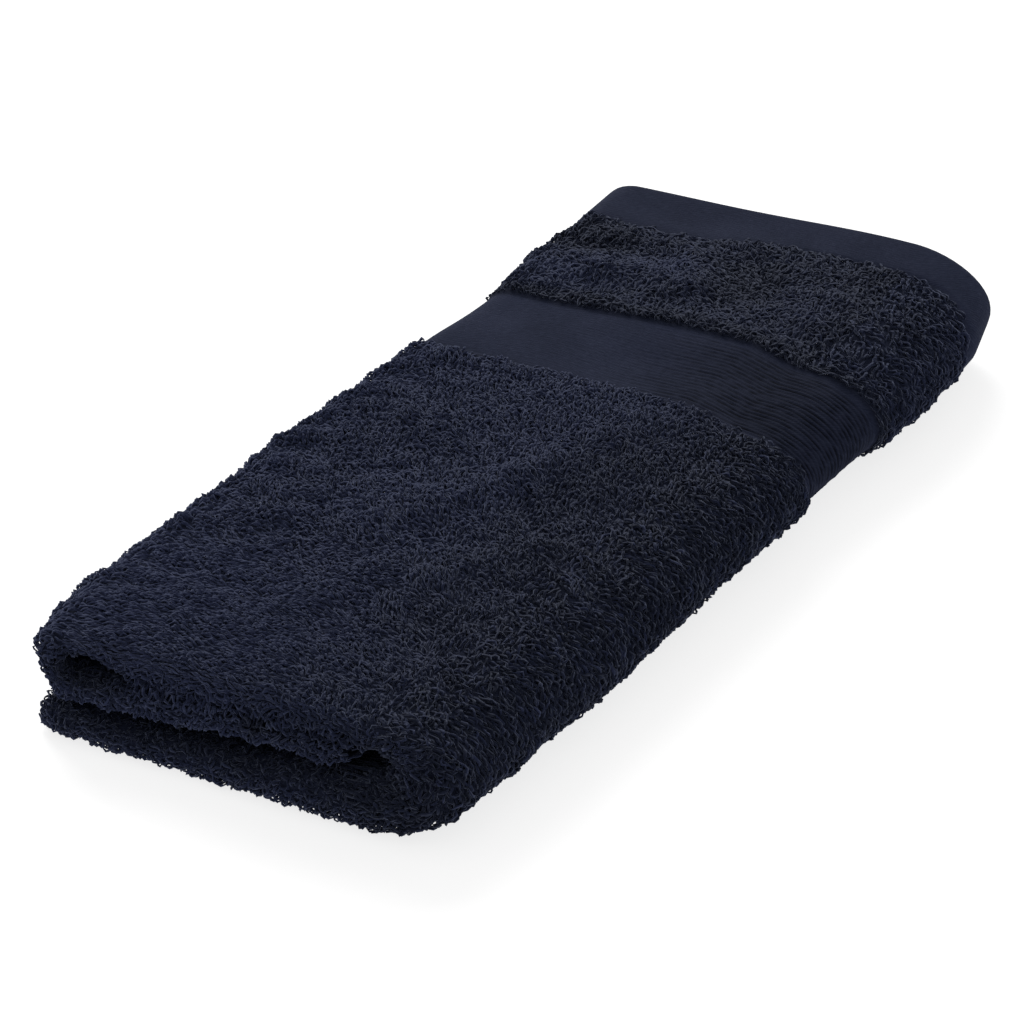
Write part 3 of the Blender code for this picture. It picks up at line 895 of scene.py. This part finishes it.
def ground_material():
    """The woven ground: fine weave in band, hem and selvage, with painted shade between the loops and the
    other painted light and shade of its tone.
    """
    nodes = Nodes("navy_weave")
    place_of = nodes.add("ShaderNodeTexCoord").outputs["Object"]
    uv = nodes.add("ShaderNodeUVMap", uv_map="UVMap").outputs["UV"]
    patches = nodes.noise(place_of, 75.0, 3.0)
    fibres = nodes.noise(place_of, 2200.0, 3.0, 0.7)
    along = nodes.add("ShaderNodeMapping", {"Vector": uv, "Scale": (14.0, 150.0, 1.0)}).outputs[0]
    streaks = nodes.noise(along, 1.0, 3.0, 0.65)
    short = nodes.add("ShaderNodeMapping", {"Vector": uv, "Scale": (70.0, 270.0, 1.0)}).outputs[0]
    dashes = nodes.math("SUBTRACT", nodes.noise(short, 1.0, 1.0), 0.5)
    mix = nodes.weighted((patches, 0.45), (streaks, 0.34), (fibres, 0.26), (dashes, 0.75))
    colour = nodes.ramp(mix, *zip((0.26, 0.52, 0.80), WEAVE_COLOURS))
    # The tone attribute scales the weave's colour by its painted shade and light
    tone_and_painted_shade = nodes.add("ShaderNodeAttribute", attribute_name="tone_and_painted_shade").outputs["Fac"]
    shaded = nodes.add("ShaderNodeVectorMath", {0: colour, "Scale": tone_and_painted_shade}, operation="SCALE")
    nodes.link(shaded.outputs[0], "Base Color")
    weft = nodes.add("ShaderNodeTexWave", {
        "Vector": uv,
        "Scale": 32.0,
        "Distortion": 1.5,
        "Detail": 2.0,
        "Detail Scale": 20.0,
    }, wave_type="BANDS", bands_direction="Y").outputs["Fac"]
    warp = nodes.add("ShaderNodeTexWave", {
        "Vector": uv,
        "Scale": 44.0,
        "Distortion": 1.0,
        "Detail": 2.0,
        "Detail Scale": 20.0,
    }, wave_type="BANDS", bands_direction="X").outputs["Fac"]
    nodes.bump(nodes.weighted((weft, 0.6), (warp, 0.4), (fibres, 0.8)), 0.45, 0.1 * MM)
    cotton_finish(nodes, specular=0.03, sheen=0.015)
    return nodes.material


def floor_material():
    """A pale floor that glows enough to look as white as the photograph's background."""
    nodes = Nodes("pale_floor")
    place_of = nodes.add("ShaderNodeTexCoord").outputs["Object"]
    mottle = nodes.noise(place_of, 3.0, 2.0)
    colour = nodes.ramp(mottle, (0.0, (0.30, 0.30, 0.30)), (1.0, (0.32, 0.32, 0.32)))
    nodes.link(colour, "Base Color")
    nodes.shader.inputs["Emission Color"].default_value = (1.0, 1.0, 1.0, 1.0)
    nodes.shader.inputs["Emission Strength"].default_value = 0.78
    nodes.shader.inputs["Roughness"].default_value = 0.8
    nodes.shader.inputs["Specular IOR Level"].default_value = 0.1
    return nodes.material


# The camera is fitted to the photograph's outline
AZIMUTH = radians(31.972)
ELEVATION = radians(30.284)
DISTANCE = 1.08309
TARGET = Vector((0.000709, -0.013033, 0.012))
LENS = 171.406


def make_camera():
    back = Vector((sin(AZIMUTH) * cos(ELEVATION), -cos(AZIMUTH) * cos(ELEVATION), sin(ELEVATION)))
    data = bpy.data.cameras.new("camera")
    data.lens = LENS
    data.sensor_width = 36.0
    data.clip_start = 0.02
    data.clip_end = 30.0
    camera = bpy.data.objects.new("camera", data)
    camera.location = TARGET + back * DISTANCE
    camera.rotation_euler = (-back).to_track_quat("-Z", "Y").to_euler()
    bpy.context.scene.collection.objects.link(camera)
    bpy.context.scene.camera = camera


def area_light(name, position, size, power):
    """A square white light that shines at the towel."""
    data = bpy.data.lights.new(name, "AREA")
    data.shape = "SQUARE"
    data.size = size
    data.energy = power
    light = bpy.data.objects.new(name, data)
    light.location = position
    light.rotation_euler = (-Vector(position)).to_track_quat("-Z", "Y").to_euler()
    bpy.context.scene.collection.objects.link(light)


def make_studio():
    """A pale floor, one big soft light above and behind to the left, and a bright even surround."""
    reach = 6.0
    corners = np.array([(-reach, -reach, 0), (reach, -reach, 0), (reach, reach, 0), (-reach, reach, 0)])
    uvs = np.array([(0, 0), (1, 0), (1, 1), (0, 1)], dtype=float)
    floor = new_mesh("floor", corners, np.array([[0, 1, 2, 3]]), uvs)
    floor.data.materials.append(floor_material())
    area_light("key", (-1.05, 1.0, 0.95), size=1.1, power=37.0)
    area_light("fill", (0.9, -0.8, 1.4), size=1.4, power=2.0)
    world = bpy.data.worlds.new("studio")
    world.use_nodes = True
    background = world.node_tree.nodes["Background"]
    background.inputs["Color"].default_value = (1.0, 1.0, 1.0, 1.0)
    background.inputs["Strength"].default_value = 0.54
    bpy.context.scene.world = world
    bpy.context.scene.view_settings.view_transform = "Standard"


def main():
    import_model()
    clear_scene_extras()
    make_camera()
    ground = make_ground()
    ground.data.materials.append(ground_material())
    pieces = make_pile()
    pile_look = pile_material()
    for piece in pieces:
        piece.data.materials.append(pile_look)
    for piece in [ground, *pieces]:
        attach(piece, "root")
    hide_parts("towel")
    make_studio()
    print("triangles", {piece.name: 2 * len(piece.data.polygons) for piece in [ground, *pieces]})


main()
